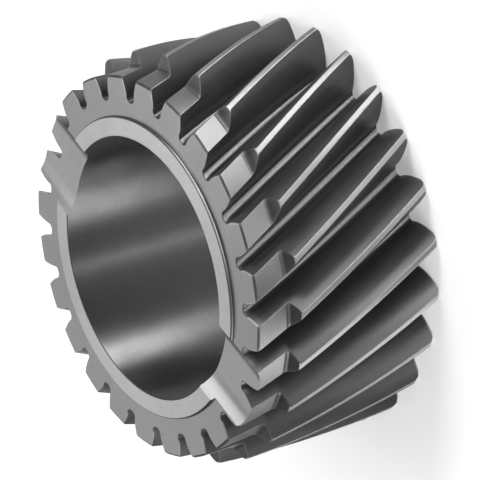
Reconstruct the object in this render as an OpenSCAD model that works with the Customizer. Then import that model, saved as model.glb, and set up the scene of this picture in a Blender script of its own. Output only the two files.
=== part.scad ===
// Helical transmission gear, cut from one turned steel blank.
// The bore axis is Z, the plain back face lies on Z = 0 and the thrust ring points up.

/* [Teeth] */
// Number of teeth
teeth = 24; // [22:1:36]
// Module in the plane square to a tooth
normal_module = 4; // [3.8:0.1:6]
// Helix angle at the pitch circle
helix_angle = 25.8; // [12:0.2:32]
// Hand of the helix, 1 for right and -1 for left
helix_hand = -1; // [-1, 1]
// Pressure angle in the plane square to a tooth
pressure_angle = 22.5; // [20:0.5:25]
// Height of a tooth above the pitch circle
addendum = 4.7; // [4:0.1:5]
// Depth of a tooth space below the pitch circle
dedendum = 6.6; // [5:0.1:7]
// Width of a tooth along the pitch circle
tooth_thickness = 7.1; // [6.6:0.1:7.6]
// Radius between a flank and the bottom of the tooth space
root_fillet = 1.5; // [0.6:0.1:1.6]
// How far each flank is drawn in at the tip
tip_relief = 0.35; // [0:0.05:0.5]
// Height over which the flank is drawn in
tip_relief_height = 1.2; // [0.4:0.1:2]

/* [Body] */
// Length of the teeth from the back face to the toothed front face
face_width = 57; // [30:1:90]
// Diameter of the bore
bore_d = 73.5; // [40:0.5:76]
// Chamfer at both ends of the bore
bore_chamfer = 0.25; // [0.2:0.05:1.5]
// Chamfer across the tooth tips at the back end, along the axis
tip_chamfer_length = 1.8; // [0.4:0.1:3]
// Chamfer across the tooth tips at the back end, towards the axis
tip_chamfer_depth = 1.7; // [0.4:0.1:3]

/* [Front shoulder] */
// Length of the turned-down teeth behind the front face
shoulder_length = 9.9; // [4:0.1:16]
// How far the teeth are turned down there
shoulder_depth = 4.5; // [2:0.1:6]
// Slope of the step up to the full teeth, along the axis
shoulder_run = 1; // [0.4:0.1:3]
// Radius at the foot of the step
shoulder_fillet = 1.2; // [0.4:0.1:1.6]
// Broken edge between the turned-down teeth and the front face
shoulder_edge = 0.45; // [0.1:0.05:0.8]

/* [Thrust ring] */
// Width of the raised ring around the bore
ring_width = 5.5; // [3:0.1:6]
// Height of the ring above the toothed face
ring_height = 0.9; // [0.4:0.1:2]
// Broken outer edge of the ring
ring_edge = 0.2; // [0.1:0.1:0.3]

/* [Oil groove] */
// Width of the groove where it crosses the ring face
groove_width = 24.4; // [17:0.2:30]
// Depth of the flat bottom below the ring face
groove_depth = 2.7; // [1.2:0.1:4]
// Radius of the two sides of the groove
groove_corner = 7; // [4.5:0.1:10]

/* [Hidden] */

overcut = 1;
edge_margin = 0.1;
groove_lift = 0.02;
flank_steps = 2;
fillet_steps = 3;
slices = 9;

transverse_module = normal_module / cos(helix_angle);
transverse_angle = atan(tan(pressure_angle) / cos(helix_angle));
pitch_r = teeth * transverse_module / 2;
base_r = pitch_r * cos(transverse_angle);
tip_r = pitch_r + addendum;
root_r = pitch_r - dedendum;
shoulder_r = tip_r - shoulder_depth;
bore_r = bore_d / 2;
ring_r = bore_r + ring_width;
ring_z = face_width + ring_height;
pitch_turn = 360 / teeth;
twist_per_mm = helix_hand * tan(helix_angle) / pitch_r * 180 / PI;

// Involute function of the flank at radius r, in degrees
function involute(r) = let (a = acos(min(1, base_r / r))) tan(a) * 180 / PI - a;

// Half the angle that the tooth space spans at radius r
function space_angle(r) =
    pitch_turn / 2 - tooth_thickness / 2 / pitch_r * 180 / PI - involute(pitch_r) + involute(r);

function polar(r, angle) = [r * cos(angle), r * sin(angle)];

function space_half_width(r) = r * sin(space_angle(r));

// The fillets of both flanks have to fit side by side at the bottom of a narrow space
fillet_size = min(root_fillet, 0.9 * space_half_width(root_r + root_fillet));
fillet_r = root_r + fillet_size;
fillet_middle = space_half_width(fillet_r) - fillet_size;

// Radii of the flank points: above the tips, where the relief starts, above the shoulder, and on to the fillet
tip_row = tip_r + edge_margin;
relief_row = tip_r - tip_relief_height;
shoulder_row = shoulder_r + edge_margin;
relief_angle = tip_relief / tip_r * 180 / PI;

// One side of the tooth space, from just outside the tips down to the root
flank = concat(
    [polar(tip_row, space_angle(tip_row) + relief_angle), polar(relief_row, space_angle(relief_row))],
    [for (i = [0:flank_steps])
        let (r = shoulder_row + (fillet_r - shoulder_row) * i / flank_steps)
        polar(r, space_angle(r))]
);
fillet = [for (i = [1:fillet_steps])
    let (a = 90 * i / fillet_steps)
    [fillet_r - fillet_size * sin(a), fillet_middle + fillet_size * cos(a)]];
half_space = concat(flank, fillet);
space_outline = concat(
    [[tip_r + 2 * overcut, 0]],
    half_space,
    [for (i = [len(half_space) - 1:-1:0]) [half_space[i][0], -half_space[i][1]]]
);

function turned(p, angle) = [p[0] * cos(angle) - p[1] * sin(angle), p[0] * sin(angle) + p[1] * cos(angle)];

// The tooth space as a solid that winds round the axis and runs out past both faces
module tooth_space() {
    bottom = -overcut;
    top = face_width + overcut;
    n = len(space_outline);
    rings = [for (s = [0:slices])
        let (z = bottom + (top - bottom) * s / slices)
        [for (p = space_outline) concat(turned(p, (z - face_width) * twist_per_mm), z)]];
    points = [for (ring = rings, p = ring) p];
    sides = [for (s = [0:slices - 1], i = [0:n - 1])
        let (j = (i + 1) % n, a = s * n, b = a + n)
        each [[a + i, b + i, b + j], [a + i, b + j, a + j]]];
    lower_end = [[for (i = [0:n - 1]) i]];
    upper_end = [[for (i = [n - 1:-1:0]) slices * n + i]];
    polyhedron(points, concat(lower_end, upper_end, sides), convexity = 6);
}

// Corner between the shoulder and the step, rounded with the shoulder fillet
function step_fillet() =
    let (
        slope = atan2(shoulder_depth, shoulder_run),
        back = shoulder_fillet * tan(slope / 2),
        corner_z = face_width - shoulder_length
    )
    [for (a = [slope:-slope / 4:0])
        [shoulder_r + shoulder_fillet - shoulder_fillet * cos(a),
            corner_z + back - shoulder_fillet * sin(a)]];

// The turned blank: bore, back chamfer, tip cylinder, step, shoulder and thrust ring
module blank() {
    rotate_extrude($fn = 180)
        polygon(concat(
            [
                [bore_r, bore_chamfer],
                [bore_r + bore_chamfer, 0],
                [tip_r - tip_chamfer_depth, 0],
                [tip_r, tip_chamfer_length],
                [tip_r, face_width - shoulder_length - shoulder_run]
            ],
            step_fillet(),
            [
                [shoulder_r, face_width - shoulder_edge],
                [shoulder_r - shoulder_edge, face_width],
                [ring_r, face_width],
                [ring_r, ring_z - ring_edge],
                [ring_r - ring_edge, ring_z],
                [bore_r + bore_chamfer, ring_z],
                [bore_r, ring_z - bore_chamfer]
            ]
        ));
}

// Shallow groove along X with a flat bottom and round sides, across the ring and the teeth at both ends.
// The flat is lifted a little, so that it meets the sides at an angle and the edges stay well defined.
module oil_groove() {
    reach = tip_r + overcut;
    side_y = groove_width / 2 - sqrt(pow(groove_corner, 2) - pow(groove_corner - groove_depth, 2));
    translate([-reach, 0, ring_z - groove_depth]) {
        for (side = [-1, 1])
            translate([0, side * side_y, groove_corner])
                rotate([0, 90, 0])
                    cylinder(r = groove_corner, h = 2 * reach, $fn = 180);
        translate([0, -side_y, groove_lift])
            cube([2 * reach, 2 * side_y, groove_depth + overcut]);
    }
}

module helical_gear() {
    color("dimgray")
        difference() {
            blank();
            for (i = [0:teeth - 1])
                rotate([0, 0, i * pitch_turn])
                    tooth_space();
            oil_groove();
        }
}

helical_gear();
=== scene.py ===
"""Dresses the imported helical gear: a fine mesh of machined steel, a pale floor, softboxes and the camera."""
import math

import bmesh
import bpy
from mathutils import Matrix, Vector


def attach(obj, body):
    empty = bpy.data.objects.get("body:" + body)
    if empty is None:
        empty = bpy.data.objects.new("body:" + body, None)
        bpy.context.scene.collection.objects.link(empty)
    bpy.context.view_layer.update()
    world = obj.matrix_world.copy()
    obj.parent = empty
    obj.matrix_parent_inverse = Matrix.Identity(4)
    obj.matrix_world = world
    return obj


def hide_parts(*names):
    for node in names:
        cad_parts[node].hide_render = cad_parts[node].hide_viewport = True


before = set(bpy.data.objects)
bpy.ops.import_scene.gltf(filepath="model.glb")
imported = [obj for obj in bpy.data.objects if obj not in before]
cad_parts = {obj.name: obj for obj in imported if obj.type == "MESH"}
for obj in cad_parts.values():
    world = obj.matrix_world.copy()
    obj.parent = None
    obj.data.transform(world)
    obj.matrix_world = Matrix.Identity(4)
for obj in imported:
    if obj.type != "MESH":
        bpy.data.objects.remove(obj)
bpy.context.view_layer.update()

# One millimetre, in the metres of the scene
MM = 0.001

# Teeth, in millimetres and radians, with the sizes of the part's source
TEETH = 24
NORMAL_MODULE = 4
HELIX_ANGLE = math.radians(25.8)
HELIX_HAND = -1
PRESSURE_ANGLE = math.radians(22.5)
ADDENDUM = 4.7
DEDENDUM = 6.6
TOOTH_THICKNESS = 7.1
ROOT_FILLET = 1.5
TIP_RELIEF = 0.35
TIP_RELIEF_HEIGHT = 1.2

# Body and front shoulder
FACE_WIDTH = 57
BORE_R = 36.75
BORE_CHAMFER = 0.25
TIP_CHAMFER_LENGTH = 1.8
TIP_CHAMFER_DEPTH = 1.7
SHOULDER_LENGTH = 9.9
SHOULDER_DEPTH = 4.5
SHOULDER_RUN = 1
SHOULDER_FILLET = 1.2
SHOULDER_EDGE = 0.45

# Thrust ring, with its outer edge broken a little further than in the source and a round at its foot
RING_WIDTH = 5.5
RING_HEIGHT = 0.9
RING_EDGE = 0.3
RING_FOOT = 0.2

# Middle of each of these two rounds, as a share of its width
ROUND_MIDDLE = 0.3

# Oil groove. At the -X end its +Y side starts nearer to the middle and runs out flatter.
GROOVE_WIDTH = 24.4
GROOVE_DEPTH = 2.7
GROOVE_CORNER = 7
FLAT_SIDE_START = 3.5
FLAT_SIDE_CORNER = 12

# Rounded edges of the teeth, which the source leaves sharp: along the crests, at the step and at both ends
CREST_EDGE = 0.1
STEP_EDGE = 0.4
END_EDGE = 0.18

# Power of the curve by which the relief grows towards the tip
RELIEF_POWER = 1.4

# Wear of the edges, from 0 for none to 1 for the full grey of worn steel
END_WEAR = 0.5
CREST_WEAR = 0.15

# Strip of the end faces along the teeth, over which the wear fades out
EDGE_BAND = 0.35

# Sizes that follow from those above
TRANSVERSE_MODULE = NORMAL_MODULE / math.cos(HELIX_ANGLE)
TRANSVERSE_ANGLE = math.atan(math.tan(PRESSURE_ANGLE) / math.cos(HELIX_ANGLE))
PITCH_R = TEETH * TRANSVERSE_MODULE / 2
BASE_R = PITCH_R * math.cos(TRANSVERSE_ANGLE)
TIP_R = PITCH_R + ADDENDUM
ROOT_R = PITCH_R - DEDENDUM
SHOULDER_R = TIP_R - SHOULDER_DEPTH
RING_R = BORE_R + RING_WIDTH
RING_Z = FACE_WIDTH + RING_HEIGHT
PITCH_TURN = 2 * math.pi / TEETH
TWIST_PER_MM = HELIX_HAND * math.tan(HELIX_ANGLE) / PITCH_R

# How finely the surfaces are divided
LAND_STEPS = 3
EDGE_STEPS = 3
FLANK_STEPS = 8
FILLET_STEPS = 6
ROOT_STEPS = 2
CHAMFER_STEPS = 6
STEP_STEPS = 4
SHOULDER_STEPS = 5
ROW_SPACING = 1.5
TURN_STEPS = 288
GROOVE_STEPS = 24

# Angle round the root fillet past which its strips count as root
ROOT_START = math.radians(58)

# Angle of the round sides of the groove's cutter, enough to rise clear of the ring
GROOVE_SPREAD = math.radians(75)

# Reach of the groove's cutter past the tips of the teeth
GROOVE_OVERCUT = 2

# Corners steeper than this stay sharp
STEEP = math.radians(40)

# Zones with a finish of their own: land is the top of a turned-down tooth and crest that of a full one,
# whose lighter grey is a painted highlight; flank also covers the step and the broken edges,
# where its dark grey is painted shade
ZONES = ["land", "crest", "flank", "root", "face", "ring", "bore", "groove"]

# Zone of the strips of a tooth space, by kind. Strips across the top of a tooth take theirs from the row.
ZONE_OF_STRIP = {"flank": "flank", "fillet": "flank", "root": "root"}


def blend(a, b, t):
    return a + (b - a) * t


def polar(r, angle):
    return Vector((r * math.cos(angle), r * math.sin(angle)))


def involute(r):
    """Involute function of the flank at radius r."""
    a = math.acos(min(1, BASE_R / r))
    return math.tan(a) - a


def space_angle(r):
    """Half the angle that the tooth space spans at radius r, with the flanks drawn in near the tip."""
    relief = max(0, (r - TIP_R) / TIP_RELIEF_HEIGHT + 1) ** RELIEF_POWER * TIP_RELIEF / TIP_R
    return PITCH_TURN / 2 - TOOTH_THICKNESS / 2 / PITCH_R - involute(PITCH_R) + involute(r) + relief


# Middle of the root fillet, along the middle line of the tooth space and to the side of it
FILLET_R = ROOT_R + ROOT_FILLET
FILLET_MIDDLE = FILLET_R * math.sin(space_angle(FILLET_R)) - ROOT_FILLET


def half_profile(top_r, inset):
    """Points from the middle of a tooth's top at radius top_r down to the middle of the tooth space.

    Each comes with the kind of the strip that follows it: land, edge, flank, fillet or root.
    """
    aside = Vector((0, inset))
    land_r = top_r - inset
    flank_top = land_r - CREST_EDGE
    corner = polar(land_r, space_angle(land_r)) + aside
    edge_angle = math.atan2(corner.y, corner.x) + CREST_EDGE / land_r
    edge_start = polar(land_r, edge_angle)
    edge_end = polar(flank_top, space_angle(flank_top)) + aside
    points = []
    for i in range(LAND_STEPS):
        points.append(("land", polar(land_r, blend(PITCH_TURN / 2, edge_angle, i / LAND_STEPS))))
    for i in range(EDGE_STEPS):
        t = i / EDGE_STEPS
        points.append(("edge", blend(blend(edge_start, corner, t), blend(corner, edge_end, t), t)))
    for i in range(FLANK_STEPS):
        r = blend(flank_top, FILLET_R, i / FLANK_STEPS)
        points.append(("flank", polar(r, space_angle(r)) + aside))
    fillet = ROOT_FILLET + inset
    for i in range(FILLET_STEPS):
        a = math.pi / 2 * i / FILLET_STEPS
        kind = "root" if a > ROOT_START else "fillet"
        p = Vector((FILLET_R - fillet * math.sin(a), FILLET_MIDDLE + fillet * math.cos(a)))
        points.append((kind, p))
    for i in range(ROOT_STEPS + 1):
        points.append(("root", Vector((FILLET_R - fillet, FILLET_MIDDLE * (1 - i / ROOT_STEPS)))))
    return points


def wall_profile(top_r, inset):
    """All tooth spaces in turn, as one closed loop drawn into the metal by inset."""
    half = [p for kind, p in half_profile(top_r, inset)]
    one = [Vector((p.x, -p.y)) for p in half] + half[-2:0:-1]
    loop = []
    for tooth in range(TEETH):
        turn = Matrix.Rotation(tooth * PITCH_TURN, 2)
        loop.extend(turn @ p for p in one)
    return loop


def wall_strips():
    """Kind of the strip between each point of the loop and the next one."""
    half = [kind for kind, p in half_profile(TIP_R, 0)]
    one = half[:-1] + half[-2::-1]
    return one * TEETH


def points_on(strip):
    """1 for each point of the loop that is on such a strip, at its end towards the tooth's top, else 0."""
    half = [float(kind == strip) for kind, p in half_profile(TIP_R, 0)]
    return (half + half[-2:0:-1]) * TEETH


class Row:
    """One loop of the toothed wall: its height, outer radius, inset and wear.

    The strips below it are all in its zone. If it has none, each is in the zone of its kind, and those
    across the top of a tooth are in top_zone.
    """

    def __init__(self, z, top_r, inset=0.0, wear=0.0, zone="", top_zone="crest"):
        self.z = z
        self.top_r = top_r
        self.inset = inset
        self.wear = wear
        self.zone = zone
        self.top_zone = top_zone


def end_rows():
    """Distance from an end face and inset of the rows of its rounded edge, from the face inwards."""
    angles = [math.pi / 2 * i / EDGE_STEPS for i in range(EDGE_STEPS + 1)]
    return [(END_EDGE * (1 - math.cos(a)), END_EDGE * (1 - math.sin(a))) for a in angles]


def back_rows():
    """Rows of the back end: the rim of its face, the rounded edge and the chamfer of the tips."""
    end_r = TIP_R - TIP_CHAMFER_DEPTH
    rows = [Row(0, end_r, END_EDGE + EDGE_BAND)]
    for distance, inset in end_rows():
        rows.append(Row(distance, end_r + distance, inset, wear=END_WEAR, zone="" if distance else "face"))
    for i in range(1, CHAMFER_STEPS + 1):
        z = blend(END_EDGE, TIP_CHAMFER_LENGTH, i / CHAMFER_STEPS)
        rise = math.sqrt(max(0, 1 - (1 - z / TIP_CHAMFER_LENGTH) ** 2))
        rows.append(Row(z, TIP_R - TIP_CHAMFER_DEPTH * (1 - rise)))
    return rows


def step_rows(step_z):
    """Rows of the step from the full teeth down to the shoulder: its rounded edge, slope and fillet."""
    slope = math.atan2(SHOULDER_DEPTH, SHOULDER_RUN)
    down = Vector((math.cos(slope), -math.sin(slope)))
    corner = Vector((step_z, TIP_R))
    edge_start = Vector((step_z - STEP_EDGE, TIP_R))
    edge_end = corner + down * STEP_EDGE
    rows = []
    for i in range(EDGE_STEPS):
        t = i / EDGE_STEPS
        p = blend(blend(edge_start, corner, t), blend(corner, edge_end, t), t)
        rows.append(Row(p.x, p.y))

    foot_z = FACE_WIDTH - SHOULDER_LENGTH + SHOULDER_FILLET * math.tan(slope / 2)
    middle = Vector((foot_z, SHOULDER_R + SHOULDER_FILLET))
    fillet_start = middle - SHOULDER_FILLET * Vector((math.sin(slope), math.cos(slope)))
    # The slope and fillet of the step take the dark flank steel across the tooth tops too, as painted shade
    for i in range(STEP_STEPS):
        p = blend(edge_end, fillet_start, i / STEP_STEPS)
        rows.append(Row(p.x, p.y, top_zone="flank" if i else "crest"))
    for i in range(FILLET_STEPS + 1):
        a = slope * (1 - i / FILLET_STEPS)
        z = middle.x - SHOULDER_FILLET * math.sin(a)
        rows.append(Row(z, middle.y - SHOULDER_FILLET * math.cos(a), top_zone="flank"))
    return rows


def shoulder_rows(foot_z):
    """Rows from the foot of the step over the turned-down teeth and round their front edge."""
    rows = []
    for i in range(1, SHOULDER_STEPS):
        z = blend(foot_z, FACE_WIDTH - SHOULDER_EDGE, i / SHOULDER_STEPS)
        rows.append(Row(z, SHOULDER_R, top_zone="land"))
    # The broken front edge of the turned-down teeth and the rounded front ends take the dark flank steel all
    # round, as painted shade
    end_r = SHOULDER_R - SHOULDER_EDGE
    for i in range(EDGE_STEPS):
        distance = blend(SHOULDER_EDGE, END_EDGE, i / EDGE_STEPS)
        rows.append(Row(FACE_WIDTH - distance, end_r + distance, top_zone="flank" if i else "land"))
    for distance, inset in end_rows()[::-1]:
        rows.append(Row(FACE_WIDTH - distance, end_r + distance, inset, wear=END_WEAR, zone="flank"))
    rows.append(Row(FACE_WIDTH, end_r, END_EDGE + EDGE_BAND, zone="face"))
    return rows


def outer_rows():
    """Rows of the toothed wall, from the back face up."""
    step_z = FACE_WIDTH - SHOULDER_LENGTH - SHOULDER_RUN
    rows = back_rows()
    count = math.ceil((step_z - STEP_EDGE - TIP_CHAMFER_LENGTH) / ROW_SPACING)
    for i in range(1, count):
        rows.append(Row(blend(TIP_CHAMFER_LENGTH, step_z - STEP_EDGE, i / count), TIP_R))
    rows += step_rows(step_z)
    return rows + shoulder_rows(rows[-1].z)


def turned_rows():
    """Radius, height and zone of the turned surfaces, from the foot of the ring to the back."""
    foot_middle = RING_FOOT * ROUND_MIDDLE
    edge_middle = RING_EDGE * ROUND_MIDDLE
    # The round at the ring's foot and the broken edges of ring and bore take the dark flank steel: painted
    # shade, a dark line in the corner at the ring's foot and along those edges
    return [
        (RING_R + RING_FOOT, FACE_WIDTH, "flank"),
        (RING_R + foot_middle, FACE_WIDTH + foot_middle, "flank"),
        (RING_R, FACE_WIDTH + RING_FOOT, "ring"),
        (RING_R, RING_Z - RING_EDGE, "flank"),
        (RING_R - edge_middle, RING_Z - edge_middle, "flank"),
        (RING_R - RING_EDGE, RING_Z, "ring"),
        (BORE_R + BORE_CHAMFER, RING_Z, "flank"),
        (BORE_R, RING_Z - BORE_CHAMFER, "bore"),
        (BORE_R, BORE_CHAMFER, "flank"),
        (BORE_R + BORE_CHAMFER, 0, "ring"),
    ]


def join_loops(bm, lower, upper, zones):
    """Quads between two closed loops, with the zone of each."""
    for i, zone in enumerate(zones):
        j = (i + 1) % len(zones)
        face = bm.faces.new((lower[i], lower[j], upper[j], upper[i]))
        face.material_index = ZONES.index(zone)


def close_end(bm, wall, circle, start_angle, upward):
    """Closes an end face between the toothed loop and a turned circle, one polygon to a tooth space."""
    per_pitch = len(wall) // TEETH
    for tooth in range(TEETH):
        outer = [wall[(tooth * per_pitch + i) % len(wall)] for i in range(per_pitch + 1)]
        first = round((start_angle + tooth * PITCH_TURN) / (2 * math.pi) * TURN_STEPS)
        last = round((start_angle + (tooth + 1) * PITCH_TURN) / (2 * math.pi) * TURN_STEPS)
        inner = [circle[i % TURN_STEPS] for i in range(last, first - 1, -1)]
        corners = outer + inner
        face = bm.faces.new(corners if upward else corners[::-1])
        face.material_index = ZONES.index("face")


def add_wall(bm):
    """Adds the toothed wall, with the wear of each point as an attribute, and returns its loops."""
    wear = bm.verts.layers.float.new("wear")
    strips = wall_strips()
    on_edge = points_on("edge")
    on_flank = points_on("flank")
    rows = outer_rows()
    loops = []
    for row in rows:
        turn = Matrix.Rotation((row.z - FACE_WIDTH) * TWIST_PER_MM, 2)
        points = [turn @ p for p in wall_profile(row.top_r, row.inset)]
        loops.append([bm.verts.new((p.x, p.y, row.z)) for p in points])
        if row.inset > END_EDGE:
            continue
        for i, vertex in enumerate(loops[-1]):
            vertex[wear] = max(row.wear * on_flank[i], CREST_WEAR * on_edge[i])
    for k, row in enumerate(rows[1:]):
        zones = [row.zone or ZONE_OF_STRIP.get(strip, row.top_zone) for strip in strips]
        join_loops(bm, loops[k], loops[k + 1], zones)
    return loops


def add_turned(bm):
    """Adds the ring, the bore and their edges, and returns their loops."""
    rows = turned_rows()
    loops = []
    for r, z, zone in rows:
        points = [polar(r, 2 * math.pi * i / TURN_STEPS) for i in range(TURN_STEPS)]
        loops.append([bm.verts.new((p.x, p.y, z)) for p in points])
    for k, (r, z, zone) in enumerate(rows[:-1]):
        join_loops(bm, loops[k], loops[k + 1], [zone] * TURN_STEPS)
    return loops


def gear_mesh():
    """The whole gear but for its groove."""
    bm = bmesh.new()
    wall = add_wall(bm)
    turned = add_turned(bm)
    front_angle = -PITCH_TURN / 2
    back_angle = front_angle - FACE_WIDTH * TWIST_PER_MM
    close_end(bm, wall[-1], turned[0], front_angle, upward=True)
    close_end(bm, wall[0], turned[-1], back_angle, upward=False)
    bmesh.ops.scale(bm, vec=(MM, MM, MM), verts=bm.verts)
    mesh = bpy.data.meshes.new("gear_body")
    bm.to_mesh(mesh)
    bm.free()
    return mesh


def groove_side(start, corner):
    """Points from the edge of the flat bottom up one round side of the oil groove."""
    bottom_z = RING_Z - GROOVE_DEPTH
    points = []
    for i in range(GROOVE_STEPS + 1):
        a = GROOVE_SPREAD * i / GROOVE_STEPS
        points.append((start + corner * math.sin(a), bottom_z + corner * (1 - math.cos(a))))
    return points


def groove_cutter():
    """Prism along X that cuts the oil groove, with its +Y side flatter towards the -X end."""
    reach = TIP_R + GROOVE_OVERCUT
    start = GROOVE_WIDTH / 2 - math.sqrt(GROOVE_CORNER ** 2 - (GROOVE_CORNER - GROOVE_DEPTH) ** 2)
    straight_side = [(-y, z) for y, z in groove_side(start, GROOVE_CORNER)[::-1]]
    sections = [
        (-reach, straight_side + groove_side(FLAT_SIDE_START, FLAT_SIDE_CORNER)),
        (reach, straight_side + groove_side(start, GROOVE_CORNER)),
    ]
    bm = bmesh.new()
    ends = [[bm.verts.new((x * MM, y * MM, z * MM)) for y, z in section] for x, section in sections]
    bm.faces.new(ends[0][::-1])
    bm.faces.new(ends[1])
    count = len(ends[0])
    for i in range(count):
        j = (i + 1) % count
        bm.faces.new((ends[0][i], ends[0][j], ends[1][j]))
        bm.faces.new((ends[0][i], ends[1][j], ends[1][i]))
    bmesh.ops.recalc_face_normals(bm, faces=bm.faces)
    for face in bm.faces:
        face.material_index = ZONES.index("groove")
    mesh = bpy.data.meshes.new("groove_cutter")
    bm.to_mesh(mesh)
    bm.free()
    return mesh


def mark_edges(mesh):
    """Keeps the border of the groove and every steep corner sharp, and shades the rest smooth."""
    bm = bmesh.new()
    bm.from_mesh(mesh)
    groove = ZONES.index("groove")
    for face in bm.faces:
        face.smooth = True
    for edge in bm.edges:
        if len(edge.link_faces) != 2:
            continue
        a, b = edge.link_faces
        border = (a.material_index == groove) != (b.material_index == groove)
        edge.smooth = not border and edge.calc_face_angle(0) < STEEP
    bm.to_mesh(mesh)
    bm.free()


def grey_colour(grey):
    """Opaque colour with the same level in all channels."""
    return (grey, grey, grey, 1)


# Part of a noise's range that is stretched to the full one, past which it is cut off
NOISE_LOW = 0.3
NOISE_HIGH = 0.7

# How far tool marks stray from their true place, in metres, and the scale of the noise that they follow
WAVER = 0.0004
WAVER_SCALE = 60


class Shading:
    """Small helpers that add nodes to one material and link them."""

    def __init__(self, name):
        self.material = bpy.data.materials.new(name)
        self.material.use_nodes = True
        self.tree = self.material.node_tree
        self.shader = self.tree.nodes["Principled BSDF"]
        self.place = self.add("ShaderNodeTexCoord").outputs["Object"]

    def add(self, kind, **settings):
        node = self.tree.nodes.new(kind)
        for name, value in settings.items():
            setattr(node, name, value)
        return node

    def set(self, socket, value):
        if isinstance(value, bpy.types.NodeSocket):
            self.tree.links.new(value, socket)
        else:
            socket.default_value = value

    def calc(self, operation, a, b=0.0, c=0.0):
        node = self.add("ShaderNodeMath", operation=operation)
        for socket, value in zip(node.inputs, (a, b, c)):
            self.set(socket, value)
        return node.outputs[0]

    def vector(self, operation, a, b=(0, 0, 0)):
        node = self.add("ShaderNodeVectorMath", operation=operation)
        self.set(node.inputs[0], a)
        self.set(node.inputs[1], b)
        return node.outputs["Value" if operation == "LENGTH" else "Vector"]

    def height(self):
        parts = self.add("ShaderNodeSeparateXYZ")
        self.set(parts.inputs[0], self.place)
        return parts.outputs["Z"]

    def noise(self, place, scale, detail=2.0, roughness=0.5):
        node = self.add("ShaderNodeTexNoise")
        self.set(node.inputs["Vector"], place)
        node.inputs["Scale"].default_value = scale
        node.inputs["Detail"].default_value = detail
        node.inputs["Roughness"].default_value = roughness
        return node.outputs["Fac"]

    def lines(self, distance, per_metre):
        """Noise along one measured distance, for the marks that a tool leaves square to it."""
        waver = self.calc("MULTIPLY", self.noise(self.place, WAVER_SCALE), WAVER)
        node = self.add("ShaderNodeTexNoise", noise_dimensions="1D")
        self.set(node.inputs["W"], self.calc("ADD", distance, waver))
        node.inputs["Scale"].default_value = per_metre
        node.inputs["Detail"].default_value = 3
        node.inputs["Roughness"].default_value = 0.7
        return node.outputs["Fac"]

    def spread(self, value, low, high):
        """Stretches the middle of a noise to the range from low to high."""
        node = self.add("ShaderNodeMapRange")
        self.set(node.inputs["Value"], value)
        node.inputs["From Min"].default_value = NOISE_LOW
        node.inputs["From Max"].default_value = NOISE_HIGH
        node.inputs["To Min"].default_value = low
        node.inputs["To Max"].default_value = high
        return node.outputs["Result"]

    def mix(self, factor, a, b):
        node = self.add("ShaderNodeMix", data_type="RGBA")
        self.set(node.inputs["Factor"], factor)
        self.set(node.inputs["A"], a)
        self.set(node.inputs["B"], b)
        return node.outputs["Result"]


# Tool marks per metre, on the faces and on the round surfaces
FACE_LINES = 1900
ROUND_LINES = 1700

# Streaks per metre across them, and their scale lengthwise as a share of that
HELIX_STREAKS = 1500
GROOVE_STREAKS = 1400
STREAK_SHARE = 0.03


def turning_marks(shading):
    """Rings round the axis on a faced surface."""
    flat = shading.vector("MULTIPLY", shading.place, (1, 1, 0))
    return shading.lines(shading.vector("LENGTH", flat), FACE_LINES)


def round_marks(shading):
    """Rings round the axis on a cylinder."""
    return shading.lines(shading.height(), ROUND_LINES)


def helix_marks(shading):
    """Streaks along the teeth, found by turning each point back along the helix."""
    back_turn = shading.add("ShaderNodeVectorRotate", rotation_type="Z_AXIS")
    shading.set(back_turn.inputs["Vector"], shading.place)
    shading.set(back_turn.inputs["Angle"], shading.calc("MULTIPLY", shading.height(), -TWIST_PER_MM / MM))
    drawn_out = shading.vector("MULTIPLY", back_turn.outputs["Vector"], (1, 1, STREAK_SHARE))
    return shading.noise(drawn_out, HELIX_STREAKS, detail=3, roughness=0.6)


def groove_marks(shading):
    """Streaks along the groove."""
    drawn_out = shading.vector("MULTIPLY", shading.place, (STREAK_SHARE, 1, 1))
    return shading.noise(drawn_out, GROOVE_STREAKS, detail=3)


# Scales of the clouds of thin oil and of the fine grain, per metre
CLOUD_SCALE = 45
GRAIN_SCALE = 2600

# Lowest and highest factor by which clouds, tool marks and grain change the grey of the steel
CLOUD_TONE = (0.86, 1.12)
MARK_TONE = (0.94, 1.06)
GRAIN_TONE = (0.95, 1.05)

# The most that clouds take from the roughness and add to it, and the same for tool marks and grain
CLOUD_ROUGHNESS = (-0.04, 0.05)
FINE_ROUGHNESS = (-0.02, 0.02)

# Height of the grain as a share of that of the tool marks
GRAIN_HEIGHT = 0.25

# Grey of worn steel, and the least and most of the wear that shows from patch to patch
WORN_GREY = 0.4
WORN_PATCHES = (0.55, 1.0)

# Anisotropic rotation that draws highlights out square to the marks of a turned surface
QUARTER_TURN = 0.25


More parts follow.
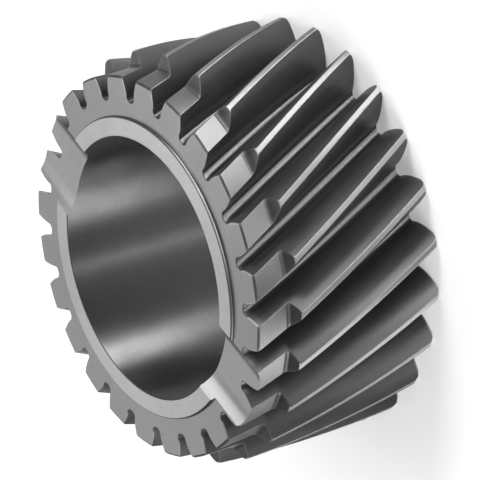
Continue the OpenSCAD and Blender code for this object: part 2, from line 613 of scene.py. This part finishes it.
def machined_steel(zone, marks, grey, roughness, mark_depth, anisotropy=0.0, metallic=1.0):
    """Steel with tool marks, cloudy patches of thin oil, fine grain and rubbed edges."""
    shading = Shading("steel_" + zone)
    sockets = shading.shader.inputs
    mark = marks(shading)
    cloud = shading.noise(shading.place, CLOUD_SCALE, detail=4, roughness=0.6)
    grain = shading.noise(shading.place, GRAIN_SCALE)
    rubbed = shading.add("ShaderNodeAttribute", attribute_name="wear").outputs["Fac"]

    tone = shading.calc("MULTIPLY", shading.spread(cloud, *CLOUD_TONE), shading.spread(mark, *MARK_TONE))
    tone = shading.calc("MULTIPLY", tone, shading.spread(grain, *GRAIN_TONE))
    edge = shading.calc("MULTIPLY", rubbed, shading.spread(cloud, *WORN_PATCHES))
    colour = shading.mix(edge, shading.calc("MULTIPLY", tone, grey), grey_colour(WORN_GREY))
    shading.set(sockets["Base Color"], colour)

    rough = shading.calc("ADD", roughness, shading.spread(cloud, *CLOUD_ROUGHNESS))
    rough = shading.calc("ADD", rough, shading.spread(mark, *FINE_ROUGHNESS))
    rough = shading.calc("ADD", rough, shading.spread(grain, *FINE_ROUGHNESS))
    shading.set(sockets["Roughness"], rough)

    sockets["Metallic"].default_value = metallic
    sockets["Anisotropic"].default_value = anisotropy
    if anisotropy:
        sockets["Anisotropic Rotation"].default_value = QUARTER_TURN
        tangent = shading.add("ShaderNodeTangent", direction_type="RADIAL", axis="Z")
        shading.set(sockets["Tangent"], tangent.outputs["Tangent"])

    bump = shading.add("ShaderNodeBump")
    bump.inputs["Strength"].default_value = 1
    bump.inputs["Distance"].default_value = mark_depth
    shading.set(bump.inputs["Height"], shading.calc("MULTIPLY_ADD", grain, GRAIN_HEIGHT, mark))
    shading.set(sockets["Normal"], bump.outputs["Normal"])
    return shading.material


def zone_materials():
    """One finish for each zone, in the order of ZONES, with the depth of its tool marks in metres."""
    return [
        machined_steel("land", round_marks, grey=0.3, roughness=0.55, mark_depth=2e-6, anisotropy=0.98),
        # Crest: the same ground steel as the land, but a lighter grey that paints a highlight along the crests
        machined_steel("crest", round_marks, grey=0.38, roughness=0.55, mark_depth=2e-6, anisotropy=0.95),
        machined_steel("flank", helix_marks, grey=0.055, roughness=0.4, mark_depth=1e-6, metallic=0.6),
        machined_steel("root", round_marks, grey=0.24, roughness=0.5, mark_depth=1e-6, anisotropy=0.9),
        machined_steel("face", turning_marks, grey=0.19, roughness=0.34, mark_depth=2e-6, anisotropy=0.3),
        machined_steel("ring", turning_marks, grey=0.32, roughness=0.37, mark_depth=5e-7, anisotropy=0.3),
        machined_steel("bore", round_marks, grey=0.28, roughness=0.39, mark_depth=2e-6, anisotropy=1),
        machined_steel("groove", groove_marks, grey=0.2, roughness=0.32, mark_depth=2e-6),
    ]


def linked(name, data):
    """New object with this data, in the scene."""
    made = bpy.data.objects.new(name, data)
    bpy.context.scene.collection.objects.link(made)
    return made


def build_gear():
    """The finished gear, with the groove cut out of its mesh."""
    body = linked("gear_body", gear_mesh())
    cutter = linked("groove_cutter", groove_cutter())
    for material in zone_materials():
        body.data.materials.append(material)
        cutter.data.materials.append(material)
    cut = body.modifiers.new("groove", "BOOLEAN")
    cut.operation = "DIFFERENCE"
    cut.solver = "EXACT"
    cut.object = cutter
    bpy.context.view_layer.update()
    evaluated = body.evaluated_get(bpy.context.evaluated_depsgraph_get())
    finished = bpy.data.meshes.new_from_object(evaluated)
    body.modifiers.remove(cut)
    body.data = finished
    bpy.data.objects.remove(cutter)
    mark_edges(body.data)
    weighted = body.modifiers.new("weighted_normals", "WEIGHTED_NORMAL")
    weighted.keep_sharp = True
    return body


gear = build_gear()
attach(gear, "root")
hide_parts("helical_gear")

# Floor. A glow lifts it to near white for the camera and in the metal, and the gear's shadow still shows.
FLOOR_SIZE = 6
FLOOR_GREY = 0.82
FLOOR_ROUGHNESS = 0.9
FLOOR_GLOW = 0.22


def build_floor():
    """Flat painted square under the gear."""
    half = FLOOR_SIZE / 2
    corners = [(-half, -half, 0), (half, -half, 0), (half, half, 0), (-half, half, 0)]
    mesh = bpy.data.meshes.new("floor")
    mesh.from_pydata(corners, [], [(0, 1, 2, 3)])
    paint = Shading("floor_paint")
    sockets = paint.shader.inputs
    sockets["Base Color"].default_value = grey_colour(FLOOR_GREY)
    sockets["Roughness"].default_value = FLOOR_ROUGHNESS
    sockets["Specular IOR Level"].default_value = 0
    sockets["Emission Color"].default_value = grey_colour(1)
    rays = paint.add("ShaderNodeLightPath")
    seen = paint.calc("MAXIMUM", rays.outputs["Is Camera Ray"], rays.outputs["Is Glossy Ray"])
    seen = paint.calc("MAXIMUM", seen, rays.outputs["Is Transmission Ray"])
    paint.set(sockets["Emission Strength"], paint.calc("MULTIPLY", seen, FLOOR_GLOW))
    mesh.materials.append(paint.material)
    return linked("floor", mesh)


floor = build_floor()


def outward(azimuth, elevation):
    """Direction from the gear, in degrees, with the azimuth counted from +X towards +Y."""
    level = math.cos(math.radians(elevation))
    return Vector((
        math.cos(math.radians(azimuth)) * level,
        math.sin(math.radians(azimuth)) * level,
        math.sin(math.radians(elevation)),
    ))


def aimed(centre, direction, distance):
    """Place and turn of a lamp or camera that looks back at the centre from that direction."""
    upright = direction.to_track_quat("Z", "Y").to_matrix().to_4x4()
    return Matrix.Translation(centre + direction * distance) @ upright


# All softboxes but one stand at the same distance round the gear
LAMP_DISTANCE = 1.3
LAMP_CENTRE = Vector((0, 0, 0.03))

# The last one is close above the -X end of the oil groove, where the metal shines almost white
NEAR_DISTANCE = 0.35
GROOVE_END = Vector((-0.053, 0, 0.057))


def softbox(name, azimuth, elevation, width, height, watts, distance=LAMP_DISTANCE, centre=LAMP_CENTRE):
    """Rectangular lamp that the camera doesn't see."""
    light = bpy.data.lights.new(name, "AREA")
    light.shape = "RECTANGLE"
    light.size = width
    light.size_y = height
    light.energy = watts
    lamp = linked(name, light)
    lamp.matrix_world = aimed(centre, outward(azimuth, elevation), distance)
    lamp.visible_camera = False


softbox("key_softbox", azimuth=-61, elevation=25, width=0.45, height=0.75, watts=13)
softbox("low_softbox", azimuth=-87, elevation=0, width=0.6, height=0.05, watts=10)
softbox("front_softbox", azimuth=-122, elevation=0, width=0.7, height=0.05, watts=6)
softbox("slim_softbox", azimuth=-145, elevation=40, width=0.08, height=0.3, watts=2)
softbox("left_softbox", azimuth=163, elevation=30, width=0.55, height=0.6, watts=9.5)
softbox("rear_softbox", azimuth=135, elevation=30, width=0.5, height=0.6, watts=3)
softbox("face_softbox", azimuth=48, elevation=33, width=1.1, height=0.7, watts=3.7)
softbox("high_softbox", azimuth=-5, elevation=54, width=1.1, height=0.8, watts=0.8)
softbox(
    "groove_softbox", azimuth=-5, elevation=54, width=0.3, height=0.08, watts=0.5,
    distance=NEAR_DISTANCE, centre=GROOVE_END,
)

# Camera, at the photograph's viewing angle: the gear's axis lies across the frame
CAMERA_AZIMUTH = -127.94
CAMERA_ELEVATION = 32.07
CAMERA_ROLL = -106.13
CAMERA_DISTANCE = 0.9559
CAMERA_LENS = 260
CAMERA_SENSOR = 36
CAMERA_TARGET = Vector((-0.00114, -0.00149, 0.026))

camera = linked("camera", bpy.data.cameras.new("camera"))
camera.data.lens = CAMERA_LENS
camera.data.sensor_width = CAMERA_SENSOR
camera_place = aimed(CAMERA_TARGET, outward(CAMERA_AZIMUTH, CAMERA_ELEVATION), CAMERA_DISTANCE)
camera.matrix_world = camera_place @ Matrix.Rotation(math.radians(CAMERA_ROLL), 4, "Z")
bpy.context.scene.camera = camera

# World, a faint even light from all round
WORLD_GREY = 0.14

world = bpy.data.worlds.new("world")
bpy.context.scene.world = world
world.use_nodes = True
world.node_tree.nodes["Background"].inputs["Color"].default_value = grey_colour(WORLD_GREY)

bpy.context.scene.view_settings.view_transform = "Standard"
